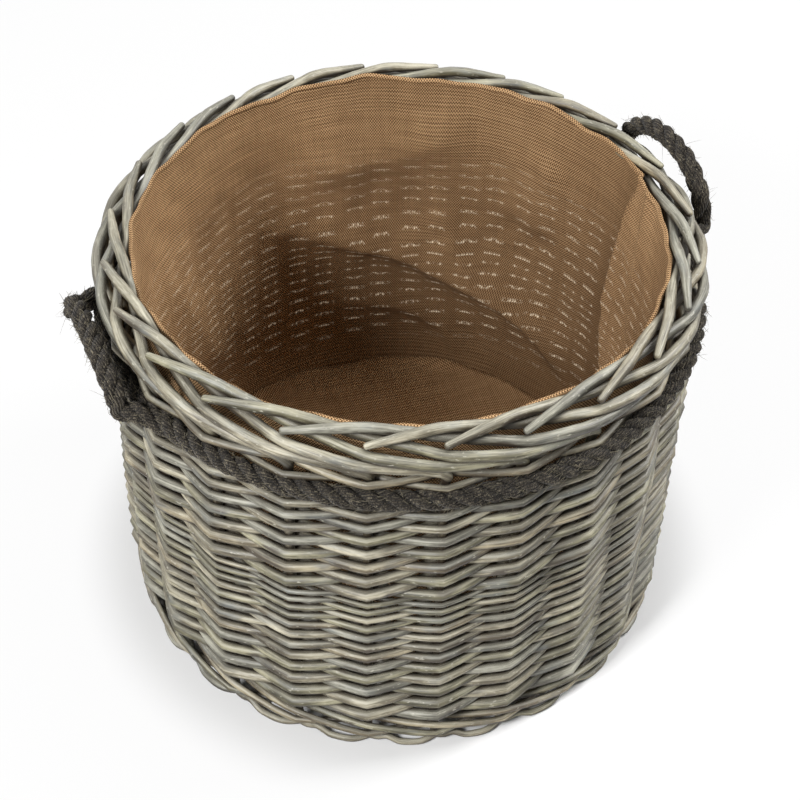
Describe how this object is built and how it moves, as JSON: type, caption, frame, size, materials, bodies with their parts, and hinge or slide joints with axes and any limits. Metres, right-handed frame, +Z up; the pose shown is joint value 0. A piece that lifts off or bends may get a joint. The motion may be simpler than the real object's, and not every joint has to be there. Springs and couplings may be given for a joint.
{
  "type": "round storage basket",
  "caption": "Round woven willow storage basket with a rolled rod border, a cloth lining and a hinged rope loop handle on each side.",
  "frame": {"origin": "on the floor under the middle of the basket, which is the middle of the box around it", "axes": "+Z up out of the basket's mouth; +X towards the taller rope handle and -X towards the lower one, midway between the two directions in which they sit, which are 5.5 degrees from opposite"},
  "size_m": [0.5384, 0.5002, 0.3784],
  "materials": {
    "willow_wall": "grey-washed willow rod, satin",
    "willow_weaver": "grey-washed willow rod, satin",
    "willow_pale": "grey-washed willow rod, satin",
    "willow_base": "grey-washed willow rod, matt",
    "rope": "dark laid rope, matt and hairy",
    "hessian": "plain woven jute cloth, matt"
  },
  "bodies": {
    "root": {"stake_01": "willow_wall", "stake_02": "willow_wall", "stake_03": "willow_wall", "stake_04": "willow_wall", "stake_05": "willow_wall", "stake_06": "willow_wall", "stake_07": "willow_wall", "stake_08": "willow_wall", "stake_09": "willow_wall", "stake_10": "willow_wall", "stake_11": "willow_wall", "stake_12": "willow_wall", "stake_13": "willow_wall", "stake_14": "willow_wall", "stake_15": "willow_wall", "stake_16": "willow_wall", "stake_17": "willow_wall", "stake_18": "willow_wall", "stake_19": "willow_wall", "stake_20": "willow_wall", "stake_21": "willow_wall", "stake_22": "willow_wall", "stake_23": "willow_wall", "stake_24": "willow_wall", "weaver_01": "willow_weaver", "weaver_02": "willow_weaver", "weaver_03": "willow_weaver", "weaver_04": "willow_weaver", "weaver_05": "willow_weaver", "weaver_06": "willow_weaver", "weaver_07": "willow_weaver", "weaver_08": "willow_weaver", "weaver_09": "willow_weaver", "weaver_10": "willow_weaver", "weaver_11": "willow_weaver", "weaver_12": "willow_weaver", "weaver_13": "willow_weaver", "weaver_14": "willow_weaver", "weaver_15": "willow_weaver", "weaver_16": "willow_weaver", "weaver_17": "willow_weaver", "weaver_18": "willow_weaver", "weaver_19": "willow_weaver", "weaver_20": "willow_weaver", "weaver_21": "willow_weaver", "weaver_22": "willow_weaver", "weaver_23": "willow_weaver", "weaver_24": "willow_weaver", "foot_wale_1": "willow_pale", "foot_wale_2": "willow_pale", "foot_wale_3": "willow_pale", "top_row_1": "willow_pale", "top_row_2": "willow_pale", "base_cross": "willow_base", "base_weave_1": "willow_base", "base_weave_2": "willow_base", "rope_band": "rope", "liner": "hessian"},
    "left_handle": {"left_handle": "rope"},
    "right_handle": {"right_handle": "rope"}
  },
  "joints": [
    {"name": "left_handle_swing", "type": "hinge", "parent": "root", "child": "left_handle", "pos_m": [-0.25756, 0.01221, 0.3199], "axis": [0.048, 0.9988, 0], "range_deg": [-171, 7]},
    {"name": "right_handle_swing", "type": "hinge", "parent": "root", "child": "right_handle", "pos_m": [0.25824, 0.01221, 0.3199], "axis": [0.048, -0.9988, 0], "range_deg": [-174, 4]}
  ]
}
